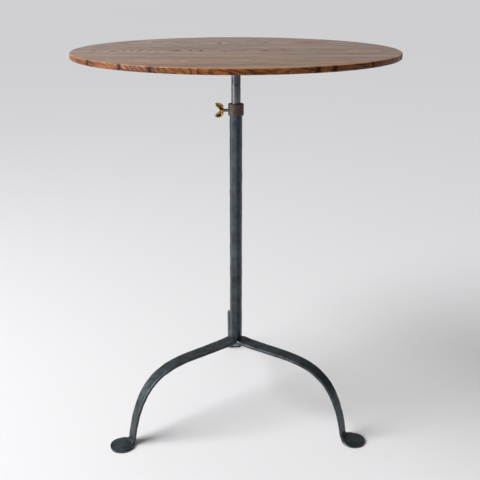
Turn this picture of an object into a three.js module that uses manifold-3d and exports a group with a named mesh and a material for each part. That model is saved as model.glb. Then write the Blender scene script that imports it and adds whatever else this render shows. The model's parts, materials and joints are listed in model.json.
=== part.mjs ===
// Tilt-top table on a forged iron tripod.
//
// An octagonal iron tube stands on three strap legs with round penny feet. A round rod slides and
// turns inside it, held by a wing screw in the collar at the tube's mouth. The rod's head plate
// carries a hinge, and the round wooden top tilts upright on it about its front edge.
//
// Millimetres, +Z up. The origin is on the post's axis, on the floor.
import * as THREE from 'three';
import { mergeVertices } from 'three/addons/utils/BufferGeometryUtils.js';
import Module from 'manifold-3d';

const wasm = await Module();
wasm.setup();

// Overall sizes
const HEIGHT = 735;
const TOP_RADIUS = 295;
const TOP_THICKNESS = 10;
const TOP_UNDERSIDE = HEIGHT - TOP_THICKNESS;
const TOP_ROUNDING = 2;
const BOARD_COUNT = 3;
const GAP = 0.3;
const PASS = 1;

// Battens that hold the top's boards together
const BATTEN_LENGTH = 300;
const BATTEN_WIDTH = 36;
const BATTEN_THICKNESS = 16;
const BATTEN_X = 95;
const BATTEN_CHAMFER = 9;
const BATTEN_SCREW_Y = [-125, 0, 125];

// Post: octagonal tube, collar, rod
const TUBE_ACROSS_CORNERS = 23.8;
const TUBE_BORE = 18;
const TUBE_BOTTOM = 146;
const TUBE_TOP = 631;
const PLUG_RIM = 10.6;
const PLUG_DOME = 4;
const PLUG_STEM = 14;
const PLUG_STEPS = 6;
const COLLAR_RADIUS = 14.8;
const COLLAR_BOTTOM = 614.6;
const COLLAR_TOP = 637;
const COLLAR_MOUTH_RADIUS = 9.8;
const COLLAR_ROUNDING = 1.2;
const ROD_RADIUS = 8.6;
const ROD_BOTTOM = 320;
const SPIGOT_RADIUS = 5;
const SPIGOT_LENGTH = 24;
const TENON_RADIUS = 6;
const RIVET_FLARE = 1.8;
const WASHER_THICKNESS = 1.5;
const END_SCREW = { radius: 2.5, head: 5, headHeight: 4, face: 4, faceHeight: 1.5, length: 14 };

// Legs: a strap forged flat, bent down in one sweep and out into a penny foot
const FRONT_WIDTHS = [[8, 23], [11.5, 30], [150, 26.6], [205, 24], [238, 20.5], [252, 20.5]];
const BACK_WIDTHS = [[8, 22.6], [14, 23.6], [40, 26.8], [150, 26.6], [205, 24], [252, 20.5]];
const LEGS = {
  leg_back: { azimuth: 90, longer: 16.4, widths: BACK_WIDTHS },
  leg_left: { azimuth: 210, longer: 0, widths: FRONT_WIDTHS },
  leg_right: { azimuth: 330, longer: 0, widths: FRONT_WIDTHS },
};
const STRAP_THICKNESS = 5.5;
const STRAP_ROOT = new THREE.Vector2(8, 156.6);
const STRAP_ROOT_SLOPE = 0.173;
const STRAP_ROOT_PULL = 113;
const ANKLE = new THREE.Vector2(234.5, 11);
const ANKLE_SLOPE = 1.42;
const ANKLE_PULL = 166;
const ARCH_STEPS = 26;
const ANKLE_STEPS = 7;
const FOOT_HALF_WIDTH = 23.8;
const FOOT_HALF_LENGTH = 22;
const FOOT_CENTRE = 256.4;
const FOOT_RIM = 3.6;
const FOOT_EDGE = 1;
const FOOT_CROWN = 13;

// Clamp screw, its axis square to the post
const SCREW_Z = 624;
const STUD_RADIUS = 3.1;
const STUD_INNER = 11.4;
const STUD_OUTER = 31;
const STUD_CHAMFER = 0.8;
const PAD_RADIUS = 2.4;
const WING_THICKNESS = 4;
const WING_HUB = { radius: 5, inner: 22.7, outer: 33, chamfer: 1 };
const EAR = { length: 16.4, width: 10, offset: 8.7, out: 31.2, lean: 0.35 };

// Tilt hinge and its plates
const PIN_Y = -52;
const PIN_Z = 717;
const PIN_RADIUS = 2.5;
const KNUCKLE_RADIUS = 5.5;
const KNUCKLE_INNER_X = 14;
const KNUCKLE_OUTER_X = 34;
const KNUCKLE_PLAY = 0.5;
const PIN_PROUD = 1.5;
const PIN_DOME = 1.2;
const HEAD_PLATE = { width: 96, back: 46, bottom: 715.9, thickness: 5, corner: 8 };
const TOP_PLATE = { width: 136, back: 68, bottom: 721.2, thickness: 3.5, corner: 6 };
const PLATE_FRONT = -46;
const PLATE_SCREW_X = 58;
const PLATE_SCREW_Y = [-36, 10, 56];

// Turn button that locks the top down
const BUTTON_Y = 56;
const BUTTON_THICKNESS = 3;
const BUTTON_TOP = 715.3;
const BUTTON_NOSE = 30;
const BUTTON_TAIL = 15;
const BUTTON_NOSE_RADIUS = 4.5;
const BUTTON_TAIL_RADIUS = 7;
const SPACER_RADIUS = 5.5;
const PIVOT_RADIUS = 2;
const PIVOT_HEAD = { radius: 4.6, height: 2.6, face: 3.2, rim: 0.8 };
const PIVOT_TOP = HEIGHT - 3.4;

// Wood screws: countersunk, driven up into the boards
const SCREW = { shank: 1.9, head: 4, headDepth: 2.4, bite: 6.6, point: 2 };

const SMOOTH = 32;
const FINE = 96;
const ROUND = 24;
const COARSE = 14;

const ironMaterial = (color, roughness) => () =>
  new THREE.MeshStandardMaterial({ color, roughness, metalness: 0.7 });
const blackIron = ironMaterial(0x3f464b, 0.55);
const rodIron = ironMaterial(0x6b6c70, 0.45);
const rustyIron = ironMaterial(0x56494a, 0.7);
const brass = () => new THREE.MeshStandardMaterial({ color: 0x9a7a3c, roughness: 0.4, metalness: 1 });
const oak = () => new THREE.MeshStandardMaterial({ color: 0x8a5a35, roughness: 0.5, metalness: 0 });
const screwSteel = ironMaterial(0x77736c, 0.5);

// A closed three.js geometry as a solid that can be cut and joined.
function solid(geometry) {
  const bare = geometry.index ? geometry.toNonIndexed() : geometry.clone();
  bare.deleteAttribute('normal');
  bare.deleteAttribute('uv');
  const merged = mergeVertices(bare);
  return new wasm.Manifold(new wasm.Mesh({
    numProp: 3,
    vertProperties: new Float32Array(merged.attributes.position.array),
    triVerts: new Uint32Array(merged.index.array),
  }));
}

function geometry(body) {
  const mesh = body.getMesh();
  const result = new THREE.BufferGeometry();
  result.setAttribute('position', new THREE.BufferAttribute(mesh.vertProperties, 3));
  result.setIndex(new THREE.BufferAttribute(mesh.triVerts, 1));
  return result;
}

const cut = (body, ...tools) => tools.reduce((rest, tool) => rest.subtract(tool), body);
const join = (...bodies) => bodies.reduce((whole, body) => whole.add(body));

function piece(name, body, material) {
  const mesh = new THREE.Mesh(geometry(body), material());
  mesh.name = name;
  return mesh;
}

// A body turned about Z from [radius, height] points that start and end on the axis.
function turned(profile, segments = SMOOTH) {
  const points = profile.map(([r, z]) => new THREE.Vector2(r, z));
  return new THREE.LatheGeometry(points, segments).rotateX(Math.PI / 2);
}

function cylinder(radius, bottom, top, segments = SMOOTH) {
  return turned([[0, bottom], [radius, bottom], [radius, top], [0, top]], segments);
}

// Turns a body modelled along +Z so that it points along -X, at the clamp screw's height.
function alongScrew(shape) {
  return shape.rotateY(-Math.PI / 2).translate(0, 0, SCREW_Z);
}

function block(x0, x1, y0, y1, z0, z1) {
  const box = new THREE.BoxGeometry(x1 - x0, y1 - y0, z1 - z0);
  return box.translate((x0 + x1) / 2, (y0 + y1) / 2, (z0 + z1) / 2);
}

// A flat outline in XY, given its thickness upwards from z.
function slab(outline, bottom, thickness, curveSegments = 6) {
  const plate = new THREE.ExtrudeGeometry(outline, {
    depth: thickness, bevelEnabled: false, curveSegments,
  });
  return plate.translate(0, 0, bottom);
}

function roundedRectangle(x0, x1, y0, y1, r) {
  const outline = new THREE.Shape();
  const quarter = Math.PI / 2;
  outline.moveTo(x0 + r, y0);
  outline.absarc(x1 - r, y0 + r, r, -quarter, 0);
  outline.absarc(x1 - r, y1 - r, r, 0, quarter);
  outline.absarc(x0 + r, y1 - r, r, quarter, 2 * quarter);
  outline.absarc(x0 + r, y0 + r, r, 2 * quarter, 3 * quarter);
  return outline;
}

// An octagonal bar with one corner on +X turned by the given angle.
function octagon(acrossCorners, bottom, top, turn = 0) {
  const outline = new THREE.Shape();
  for (let corner = 0; corner < 8; corner += 1) {
    const angle = turn + corner * Math.PI / 4;
    const x = acrossCorners / 2 * Math.cos(angle);
    const y = acrossCorners / 2 * Math.sin(angle);
    if (corner === 0) outline.moveTo(x, y);
    else outline.lineTo(x, y);
  }
  return slab(outline, bottom, top - bottom);
}

// --- Base ---------------------------------------------------------------------------------------

function postTube() {
  const bore = cylinder(TUBE_BORE / 2, TUBE_BOTTOM - PASS, TUBE_TOP + PASS);
  const screwHole = alongScrew(cylinder(STUD_RADIUS + GAP, PAD_RADIUS, TUBE_ACROSS_CORNERS));
  return cut(solid(octagon(TUBE_ACROSS_CORNERS, TUBE_BOTTOM, TUBE_TOP)), solid(bore), solid(screwHole));
}

// The plug closes the tube's foot and shows as a low dome under the legs.
function postPlug() {
  const stem = TUBE_BORE / 2 - GAP;
  const face = TUBE_BOTTOM - GAP;
  const dome = [];
  for (let step = 0; step <= PLUG_STEPS; step += 1) {
    const angle = step / PLUG_STEPS * Math.PI / 2;
    dome.push([PLUG_RIM * Math.sin(angle), face - PLUG_DOME * Math.cos(angle)]);
  }
  return solid(turned([...dome, [stem, face], [stem, face + PLUG_STEM], [0, face + PLUG_STEM]]));
}

// The collar is shrunk on the tube's mouth and closes round the rod at its top.
function postCollar() {
  const r = COLLAR_RADIUS;
  const edge = COLLAR_ROUNDING;
  const ring = turned([
    [0, COLLAR_BOTTOM], [r - edge, COLLAR_BOTTOM], [r, COLLAR_BOTTOM + edge], [r, COLLAR_TOP - edge],
    [r - edge, COLLAR_TOP], [0, COLLAR_TOP],
  ]);
  const seat = octagon(TUBE_ACROSS_CORNERS + 2 * GAP, COLLAR_BOTTOM - PASS, TUBE_TOP + GAP);
  const mouth = cylinder(COLLAR_MOUTH_RADIUS, TUBE_TOP - PASS, COLLAR_TOP + PASS);
  const thread = alongScrew(cylinder(STUD_RADIUS + GAP, PAD_RADIUS, TUBE_ACROSS_CORNERS));
  return cut(solid(ring), solid(seat), solid(mouth), solid(thread));
}

// The middle line of a leg in its own upright plane: x is the distance from the post.
function legCurves(longer) {
  const reach = (point, slope, length) =>
    point.clone().add(new THREE.Vector2(Math.cos(slope), -Math.sin(slope)).multiplyScalar(length));
  const bottom = new THREE.Vector2(ANKLE.x + longer, ANKLE.y);
  const arch = new THREE.CubicBezierCurve(
    STRAP_ROOT, reach(STRAP_ROOT, STRAP_ROOT_SLOPE, STRAP_ROOT_PULL),
    reach(bottom, ANKLE_SLOPE, -ANKLE_PULL), bottom);
  const bend = (ANKLE.y - STRAP_THICKNESS / 2) / (1 - Math.cos(ANKLE_SLOPE));
  const centre = new THREE.Vector2(
    bottom.x + bend * Math.sin(ANKLE_SLOPE), bottom.y + bend * Math.cos(ANKLE_SLOPE));
  const ankle = new THREE.EllipseCurve(
    centre.x, centre.y, bend, bend, Math.PI * 1.5 - ANKLE_SLOPE, Math.PI * 1.5);
  return [[arch, ARCH_STEPS], [ankle, ANKLE_STEPS]];
}

// The strap's side view: its middle line thickened to both sides, run out flat under the foot.
function strapSide(longer) {
  const above = [];
  const below = [];
  for (const [curve, steps] of legCurves(longer)) {
    for (let step = above.length ? 1 : 0; step <= steps; step += 1) {
      const point = curve.getPoint(step / steps);
      const along = curve.getTangent(step / steps);
      const offset = new THREE.Vector2(-along.y, along.x).multiplyScalar(STRAP_THICKNESS / 2);
      above.push(point.clone().add(offset));
      below.push(point.clone().sub(offset));
    }
  }
  above.push(new THREE.Vector2(FOOT_CENTRE + longer, STRAP_THICKNESS));
  below.push(new THREE.Vector2(FOOT_CENTRE + longer, 0));
  return new THREE.Shape([...above, ...below.reverse()]);
}

// The strap's top view, tapering from the post to the ankle.
function strapPlan(longer, widths) {
  const stretch = 1 + longer / FOOT_CENTRE;
  const side = widths.map(([r, width]) => new THREE.Vector2(r * stretch, width / 2));
  const mirrored = side.map((point) => new THREE.Vector2(point.x, -point.y)).reverse();
  return new THREE.Shape([...side, ...mirrored]);
}

function leg({ azimuth, longer, widths }) {
  const width = Math.max(...widths.map((station) => station[1]));
  const strap = slab(strapSide(longer), -width / 2, width).rotateX(Math.PI / 2);
  const plan = slab(strapPlan(longer, widths), -PASS, TUBE_TOP);
  const rim = FOOT_HALF_WIDTH;
  const penny = turned([
    [0, 0], [rim - FOOT_EDGE, 0], [rim, FOOT_EDGE], [rim, FOOT_RIM - FOOT_EDGE],
    [rim - FOOT_EDGE, FOOT_RIM], [FOOT_CROWN, STRAP_THICKNESS], [0, STRAP_THICKNESS],
  ]).scale(FOOT_HALF_LENGTH / rim, 1, 1).translate(FOOT_CENTRE + longer, 0, 0);
  const turn = -THREE.MathUtils.degToRad(azimuth);
  const post = octagon(TUBE_ACROSS_CORNERS + 2 * GAP, 0, TUBE_TOP, turn);
  const forged = join(solid(strap).intersect(solid(plan)), solid(penny));
  const body = piece('leg', cut(forged, solid(post)), blackIron);
  body.rotation.z = THREE.MathUtils.degToRad(azimuth);
  return body;
}

// --- Sliding rod --------------------------------------------------------------------------------

function innerRod() {
  const shoulder = HEAD_PLATE.bottom - GAP;
  const end = HEAD_PLATE.bottom + HEAD_PLATE.thickness - GAP;
  return solid(turned([
    [0, ROD_BOTTOM - SPIGOT_LENGTH], [SPIGOT_RADIUS, ROD_BOTTOM - SPIGOT_LENGTH],
    [SPIGOT_RADIUS, ROD_BOTTOM], [ROD_RADIUS, ROD_BOTTOM], [ROD_RADIUS, shoulder],
    [TENON_RADIUS, shoulder], [TENON_RADIUS, end - RIVET_FLARE],
    [TENON_RADIUS + RIVET_FLARE, end], [0, end],
  ]));
}

// A bush round the rod's lower end keeps it central in the tube and lets it turn.
function guideBush() {
  const outer = cylinder(TUBE_BORE / 2 - GAP, ROD_BOTTOM - SPIGOT_LENGTH + GAP, ROD_BOTTOM - GAP);
  return cut(solid(outer), solid(cylinder(SPIGOT_RADIUS + GAP, 0, ROD_BOTTOM)));
}

function bushWasher() {
  const top = ROD_BOTTOM - SPIGOT_LENGTH - GAP;
  const disc = cylinder(TUBE_BORE / 2 - 3 * GAP, top - WASHER_THICKNESS, top);
  return cut(solid(disc), solid(cylinder(END_SCREW.radius + GAP, 0, top + PASS)));
}

function endScrewHole() {
  return solid(cylinder(END_SCREW.radius + GAP, 0, ROD_BOTTOM - SPIGOT_LENGTH + END_SCREW.length));
}

function bushScrew() {
  const { radius, head, headHeight, face, faceHeight, length } = END_SCREW;
  const seat = ROD_BOTTOM - SPIGOT_LENGTH - WASHER_THICKNESS - 2 * GAP;
  const bottom = seat - headHeight;
  return solid(turned([
    [0, bottom], [face, bottom], [head, bottom + faceHeight], [head, seat], [radius, seat],
    [radius, seat + length], [0, seat + length],
  ], COARSE));
}

// --- Tilt hinge ---------------------------------------------------------------------------------

function barrel(radius, x0, x1) {
  const rod = cylinder(radius, x0, x1, ROUND).rotateY(Math.PI / 2);
  return solid(rod.translate(0, PIN_Y, PIN_Z));
}

// A knuckle with the arm that carries it out from its plate.
function knuckle(plate, x0, x1) {
  const arm = block(x0, x1, PIN_Y, PLATE_FRONT + PASS, plate.bottom, plate.bottom + plate.thickness);
  return join(solid(arm), barrel(KNUCKLE_RADIUS, x0, x1));
}

function hingePlate(plate, knuckles) {
  const half = plate.width / 2;
  const outline = roundedRectangle(-half, half, PLATE_FRONT, plate.back, plate.corner);
  const flat = solid(slab(outline, plate.bottom, plate.thickness));
  const bore = barrel(PIN_RADIUS + GAP, -half, half);
  return cut(join(flat, ...knuckles.map(([x0, x1]) => knuckle(plate, x0, x1))), bore);
}

function headPlate() {
  const top = HEAD_PLATE.bottom + HEAD_PLATE.thickness;
  const plate = hingePlate(HEAD_PLATE,
    [[-KNUCKLE_OUTER_X, -KNUCKLE_INNER_X], [KNUCKLE_INNER_X, KNUCKLE_OUTER_X]]);
  const hole = TENON_RADIUS + GAP;
  const countersink = turned([
    [0, HEAD_PLATE.bottom - PASS], [hole, HEAD_PLATE.bottom - PASS], [hole, top - RIVET_FLARE - 2 * GAP],
    [hole + RIVET_FLARE + 3 * GAP, top + GAP], [0, top + GAP],
  ]);
  return cut(plate, solid(countersink));
}

function topPlate() {
  const side = KNUCKLE_INNER_X - KNUCKLE_PLAY;
  const plate = hingePlate(TOP_PLATE, [[-side, side]]);
  const holes = plateScrewPlaces().map(([x, y]) => screwHole(TOP_PLATE.bottom, x, y));
  const pivot = solid(cylinder(PIVOT_RADIUS + GAP, 0, HEIGHT, COARSE).translate(0, BUTTON_Y, 0));
  return cut(plate, ...holes, pivot);
}

function hingePin() {
  const reach = KNUCKLE_OUTER_X + PIN_PROUD;
  const shaft = reach - PIN_DOME;
  const face = PIN_RADIUS - PIN_DOME;
  const pin = turned([
    [0, -reach], [face, -reach], [PIN_RADIUS, -shaft], [PIN_RADIUS, shaft], [face, reach], [0, reach],
  ], ROUND).rotateY(Math.PI / 2);
  return solid(pin.translate(0, PIN_Y, PIN_Z));
}

// --- Turn button --------------------------------------------------------------------------------

// A tapered bar: a round thumb end, a narrower round nose, straight sides between them.
function catchButton() {
  const reach = BUTTON_NOSE - BUTTON_NOSE_RADIUS;
  const tail = BUTTON_TAIL - BUTTON_TAIL_RADIUS;
  const lean = Math.acos((BUTTON_TAIL_RADIUS - BUTTON_NOSE_RADIUS) / (reach + tail));
  const outline = new THREE.Shape();
  outline.absarc(tail, 0, BUTTON_TAIL_RADIUS, lean - Math.PI, Math.PI - lean);
  outline.absarc(-reach, 0, BUTTON_NOSE_RADIUS, Math.PI - lean, Math.PI + lean);
  const bar = slab(outline, BUTTON_TOP - BUTTON_THICKNESS, BUTTON_THICKNESS, COARSE);
  const hole = cylinder(PIVOT_RADIUS + GAP, 0, HEIGHT, COARSE);
  return cut(solid(bar), solid(hole)).translate([0, BUTTON_Y, 0]);
}

function catchSpacer() {
  const ring = cylinder(SPACER_RADIUS, BUTTON_TOP + GAP, TOP_PLATE.bottom - GAP, ROUND);
  const hole = cylinder(PIVOT_RADIUS + GAP, 0, HEIGHT, COARSE);
  return cut(solid(ring), solid(hole)).translate([0, BUTTON_Y, 0]);
}

function catchScrew() {
  const seat = BUTTON_TOP - BUTTON_THICKNESS - GAP;
  const { radius, height, face, rim } = PIVOT_HEAD;
  return solid(turned([
    [0, seat - height], [face, seat - height], [radius, seat - rim], [radius, seat],
    [PIVOT_RADIUS, seat], [PIVOT_RADIUS, PIVOT_TOP], [0, PIVOT_TOP],
  ], COARSE).translate(0, BUTTON_Y, 0));
}

// --- Top ----------------------------------------------------------------------------------------

const plateScrewPlaces = () =>
  [-PLATE_SCREW_X, PLATE_SCREW_X].flatMap((x) => PLATE_SCREW_Y.map((y) => [x, y]));
const battenScrewPlaces = () =>
  [-BATTEN_X, BATTEN_X].flatMap((x) => BATTEN_SCREW_Y.map((y) => [x, y]));

// A countersunk wood screw whose head sits flush in the face at z.
function woodScrew(face, x, y) {
  const { shank, head, headDepth, bite, point } = SCREW;
  const tip = TOP_UNDERSIDE + bite;
  return solid(turned([
    [0, face + GAP], [head, face + GAP], [shank, face + GAP + headDepth], [shank, tip - point], [0, tip],
  ], COARSE).translate(x, y, 0));
}

function screwHole(face, x, y) {
  const { shank, head, headDepth, bite } = SCREW;
  const wall = shank + GAP;
  const tip = TOP_UNDERSIDE + bite + GAP;
  return solid(turned([
    [0, face - PASS], [head + 2 * GAP, face - PASS], [head + 2 * GAP, face + 2 * GAP],
    [wall, face + 3 * GAP + headDepth], [wall, tip], [0, tip],
  ], COARSE).translate(x, y, 0));
}

function topDisc() {
  const r = TOP_RADIUS;
  const soft = TOP_ROUNDING;
  const inset = soft * (1 - Math.SQRT1_2);
  return turned([
    [0, TOP_UNDERSIDE], [r - soft, TOP_UNDERSIDE], [r - inset, TOP_UNDERSIDE + inset],
    [r, TOP_UNDERSIDE + soft], [r, HEIGHT - soft], [r - inset, HEIGHT - inset],
    [r - soft, HEIGHT], [0, HEIGHT],
  ], FINE);
}

// The top is glued up from boards whose grain runs along X.
function topBoards() {
  const width = 2 * TOP_RADIUS / BOARD_COUNT;
  const pilots = [
    ...plateScrewPlaces().map(([x, y]) => screwHole(TOP_PLATE.bottom, x, y)),
    ...battenScrewPlaces().map(([x, y]) => screwHole(TOP_UNDERSIDE - BATTEN_THICKNESS, x, y)),
    solid(cylinder(PIVOT_RADIUS + GAP, 0, PIVOT_TOP + GAP, COARSE).translate(0, BUTTON_Y, 0)),
  ];
  const disc = cut(solid(topDisc()), ...pilots);
  const boards = [];
  for (let index = 0; index < BOARD_COUNT; index += 1) {
    const near = -TOP_RADIUS + index * width;
    const far = near + width;
    const strip = block(-2 * TOP_RADIUS, 2 * TOP_RADIUS, index ? near + GAP / 2 : near - PASS,
      index < BOARD_COUNT - 1 ? far - GAP / 2 : far + PASS, 0, 2 * HEIGHT);
    boards.push(piece(`top_board_${index + 1}`, disc.intersect(solid(strip)), oak));
  }
  return boards;
}

function batten(x) {
  const half = BATTEN_LENGTH / 2;
  const top = TOP_UNDERSIDE - GAP;
  const bottom = TOP_UNDERSIDE - BATTEN_THICKNESS;
  const side = new THREE.Shape([
    new THREE.Vector2(-half, top), new THREE.Vector2(-half, bottom + BATTEN_CHAMFER),
    new THREE.Vector2(BATTEN_CHAMFER - half, bottom), new THREE.Vector2(half - BATTEN_CHAMFER, bottom),
    new THREE.Vector2(half, bottom + BATTEN_CHAMFER), new THREE.Vector2(half, top),
  ]);
  const bar = slab(side, -BATTEN_WIDTH / 2, BATTEN_WIDTH).rotateX(Math.PI / 2).rotateZ(Math.PI / 2);
  const holes = BATTEN_SCREW_Y.map((y) => screwHole(bottom, x, y));
  return cut(solid(bar.translate(x, 0, 0)), ...holes);
}

// --- Clamp screw --------------------------------------------------------------------------------

function clampPad() {
  return solid(alongScrew(cylinder(PAD_RADIUS, ROD_RADIUS + GAP, STUD_INNER - GAP, ROUND)));
}

function clampStud() {
  const face = STUD_RADIUS - STUD_CHAMFER;
  return solid(alongScrew(turned([
    [0, STUD_INNER], [face, STUD_INNER], [STUD_RADIUS, STUD_INNER + STUD_CHAMFER],
    [STUD_RADIUS, STUD_OUTER - STUD_CHAMFER], [face, STUD_OUTER], [0, STUD_OUTER],
  ], ROUND)));
}

// One ear of the wing: a leaning oval in the plane of the screw's axis, x outwards, y off the axis.
function wingEar() {
  const { length, width, offset, out, lean } = EAR;
  const ear = new THREE.Shape();
  ear.absellipse(out, offset, length / 2, width / 2, 0, 2 * Math.PI, false, lean);
  return solid(slab(ear, -WING_THICKNESS / 2, WING_THICKNESS, ROUND));
}

function clampWing() {
  const ear = wingEar();
  const ears = join(ear, ear.mirror([0, 1, 0])).rotate([90, 0, 180]).translate([0, 0, SCREW_Z]);
  const { radius, inner, outer, chamfer } = WING_HUB;
  const hub = solid(alongScrew(turned([
    [0, inner], [radius - chamfer, inner], [radius, inner + chamfer],
    [radius, outer - chamfer], [radius - chamfer, outer], [0, outer],
  ])));
  const bore = solid(alongScrew(cylinder(STUD_RADIUS + GAP, 0, outer + PASS, ROUND)));
  return cut(join(ears, hub), bore);
}

// --- Assembly -----------------------------------------------------------------------------------

const table = new THREE.Group();

const base = new THREE.Group();
base.add(piece('post_tube', postTube(), blackIron));
base.add(piece('post_plug', postPlug(), blackIron));
base.add(piece('post_collar', postCollar(), rustyIron));
for (const [name, shape] of Object.entries(LEGS)) {
  const strap = leg(shape);
  strap.name = name;
  base.add(strap);
}

const column = new THREE.Group();
column.add(piece('guide_bush', guideBush(), brass));
column.add(piece('bush_washer', bushWasher(), screwSteel));
column.add(piece('bush_screw', bushScrew(), screwSteel));
column.add(piece('inner_rod', cut(innerRod(), endScrewHole()), rodIron));
column.add(piece('head_plate', headPlate(), blackIron));
column.add(piece('hinge_pin', hingePin(), screwSteel));

const top = new THREE.Group();
top.add(...topBoards());
top.add(piece('batten_left', batten(-BATTEN_X), oak));
top.add(piece('batten_right', batten(BATTEN_X), oak));
top.add(piece('top_plate', topPlate(), blackIron));
plateScrewPlaces().forEach(([x, y], index) => {
  top.add(piece(`plate_screw_${index + 1}`, woodScrew(TOP_PLATE.bottom, x, y), screwSteel));
});
battenScrewPlaces().forEach(([x, y], index) => {
  const face = TOP_UNDERSIDE - BATTEN_THICKNESS;
  top.add(piece(`batten_screw_${index + 1}`, woodScrew(face, x, y), screwSteel));
});
top.add(piece('catch_button', catchButton(), blackIron));
top.add(piece('catch_spacer', catchSpacer(), screwSteel));
top.add(piece('catch_screw', catchScrew(), screwSteel));

const clamp = new THREE.Group();
clamp.add(piece('clamp_pad', clampPad(), brass));
clamp.add(piece('clamp_stud', clampStud(), blackIron));
clamp.add(piece('clamp_wing', clampWing(), brass));

table.add(base, column, top, clamp);

export default table;
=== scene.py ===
"""A round tilt-top table on a hand-forged iron tripod, put together piece by piece from the floor up."""

import json
import math

import bpy
from mathutils import Vector
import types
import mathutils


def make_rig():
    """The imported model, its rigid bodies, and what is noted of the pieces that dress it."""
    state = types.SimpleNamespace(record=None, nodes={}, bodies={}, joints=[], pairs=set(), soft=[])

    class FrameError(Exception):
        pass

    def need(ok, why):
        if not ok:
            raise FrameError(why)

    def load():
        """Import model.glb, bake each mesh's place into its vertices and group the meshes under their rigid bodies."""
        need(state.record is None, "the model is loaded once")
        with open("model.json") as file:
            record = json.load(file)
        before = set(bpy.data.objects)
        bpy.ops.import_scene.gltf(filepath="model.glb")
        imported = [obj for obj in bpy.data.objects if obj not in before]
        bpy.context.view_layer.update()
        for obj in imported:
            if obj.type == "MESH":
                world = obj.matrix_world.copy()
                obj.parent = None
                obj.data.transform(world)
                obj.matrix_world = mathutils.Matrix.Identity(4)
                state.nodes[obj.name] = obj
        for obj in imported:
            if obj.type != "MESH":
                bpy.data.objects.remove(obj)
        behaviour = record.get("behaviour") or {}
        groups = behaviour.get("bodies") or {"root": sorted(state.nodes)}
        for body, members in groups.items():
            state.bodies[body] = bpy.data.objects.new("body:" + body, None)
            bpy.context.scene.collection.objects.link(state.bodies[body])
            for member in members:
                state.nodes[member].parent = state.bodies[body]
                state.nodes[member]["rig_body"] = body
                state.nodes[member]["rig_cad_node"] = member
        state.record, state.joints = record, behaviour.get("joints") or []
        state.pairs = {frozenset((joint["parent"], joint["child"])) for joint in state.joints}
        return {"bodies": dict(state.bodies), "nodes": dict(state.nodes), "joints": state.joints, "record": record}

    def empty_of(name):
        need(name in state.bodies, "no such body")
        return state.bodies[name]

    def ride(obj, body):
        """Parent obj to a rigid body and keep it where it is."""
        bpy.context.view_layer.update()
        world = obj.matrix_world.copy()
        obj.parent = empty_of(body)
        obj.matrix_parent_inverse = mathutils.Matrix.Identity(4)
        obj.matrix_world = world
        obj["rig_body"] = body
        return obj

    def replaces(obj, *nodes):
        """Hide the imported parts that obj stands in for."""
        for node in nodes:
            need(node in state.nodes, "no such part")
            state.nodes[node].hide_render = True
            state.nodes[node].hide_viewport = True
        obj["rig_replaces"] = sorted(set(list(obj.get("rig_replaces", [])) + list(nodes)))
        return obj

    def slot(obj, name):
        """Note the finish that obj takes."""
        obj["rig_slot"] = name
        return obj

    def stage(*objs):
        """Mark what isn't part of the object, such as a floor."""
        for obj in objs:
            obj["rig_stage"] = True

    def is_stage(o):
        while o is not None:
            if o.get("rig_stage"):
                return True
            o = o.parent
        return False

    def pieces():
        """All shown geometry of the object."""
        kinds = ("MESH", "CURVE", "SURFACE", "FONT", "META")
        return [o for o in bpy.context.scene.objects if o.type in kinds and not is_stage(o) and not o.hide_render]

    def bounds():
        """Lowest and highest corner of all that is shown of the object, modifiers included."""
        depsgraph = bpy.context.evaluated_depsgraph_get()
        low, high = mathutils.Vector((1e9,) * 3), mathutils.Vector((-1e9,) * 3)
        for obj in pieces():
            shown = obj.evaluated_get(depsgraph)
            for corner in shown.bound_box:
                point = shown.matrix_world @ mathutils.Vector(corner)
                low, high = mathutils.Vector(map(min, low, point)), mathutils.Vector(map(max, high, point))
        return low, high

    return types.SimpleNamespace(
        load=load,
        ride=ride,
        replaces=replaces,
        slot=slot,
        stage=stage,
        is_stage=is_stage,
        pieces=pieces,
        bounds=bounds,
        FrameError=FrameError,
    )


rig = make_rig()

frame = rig.load()
start_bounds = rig.bounds()


# --- Post tube ---
# An eight-sided iron tube, drawn over a mandrel and planished by hand, so that its corners wander a
# little. It is open at the mouth, where the rod slides in, and closed by a plug at the foot.

MM = 0.001
POST_RADIUS = 12.15
POST_BORE = 9.0
POST_BOTTOM = 146
POST_TOP = 631
POST_ARRIS = 1.1
POST_RINGS = 120
POST_WALL = 2
HAMMER_FACE = 15
POST_DENTS = 1.15
LENGTHWISE = 100


def take_up(piece):
    """Leaves only this piece selected and active."""
    if bpy.context.mode != "OBJECT":
        bpy.ops.object.mode_set(mode="OBJECT")
    bpy.ops.object.select_all(action="DESELECT")
    piece.select_set(True)
    bpy.context.view_layer.objects.active = piece


def pick(piece, test, kind="FACE"):
    """Opens the piece in edit mode with only the faces, edges or corners selected that pass the test."""
    take_up(piece)
    bpy.ops.object.mode_set(mode="EDIT")
    bpy.ops.mesh.select_mode(type=kind)
    bpy.ops.mesh.select_all(action="DESELECT")
    bpy.ops.object.mode_set(mode="OBJECT")
    mesh = piece.data
    if kind == "FACE":
        for face in mesh.polygons:
            face.select = test(face.center / MM, face.normal)
    elif kind == "EDGE":
        for edge in mesh.edges:
            ends = [mesh.vertices[i].co / MM for i in edge.vertices]
            edge.select = test(*ends)
    else:
        for corner in mesh.vertices:
            corner.select = test(corner.co / MM)
    bpy.ops.object.mode_set(mode="EDIT")


def apply(piece, kind, **settings):
    """Gives the piece a modifier with these settings and makes it permanent."""
    take_up(piece)
    modifier = piece.modifiers.new(kind.title(), kind)
    for name, value in settings.items():
        setattr(modifier, name, value)
    bpy.ops.object.modifier_apply(modifier=modifier.name)


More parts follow.
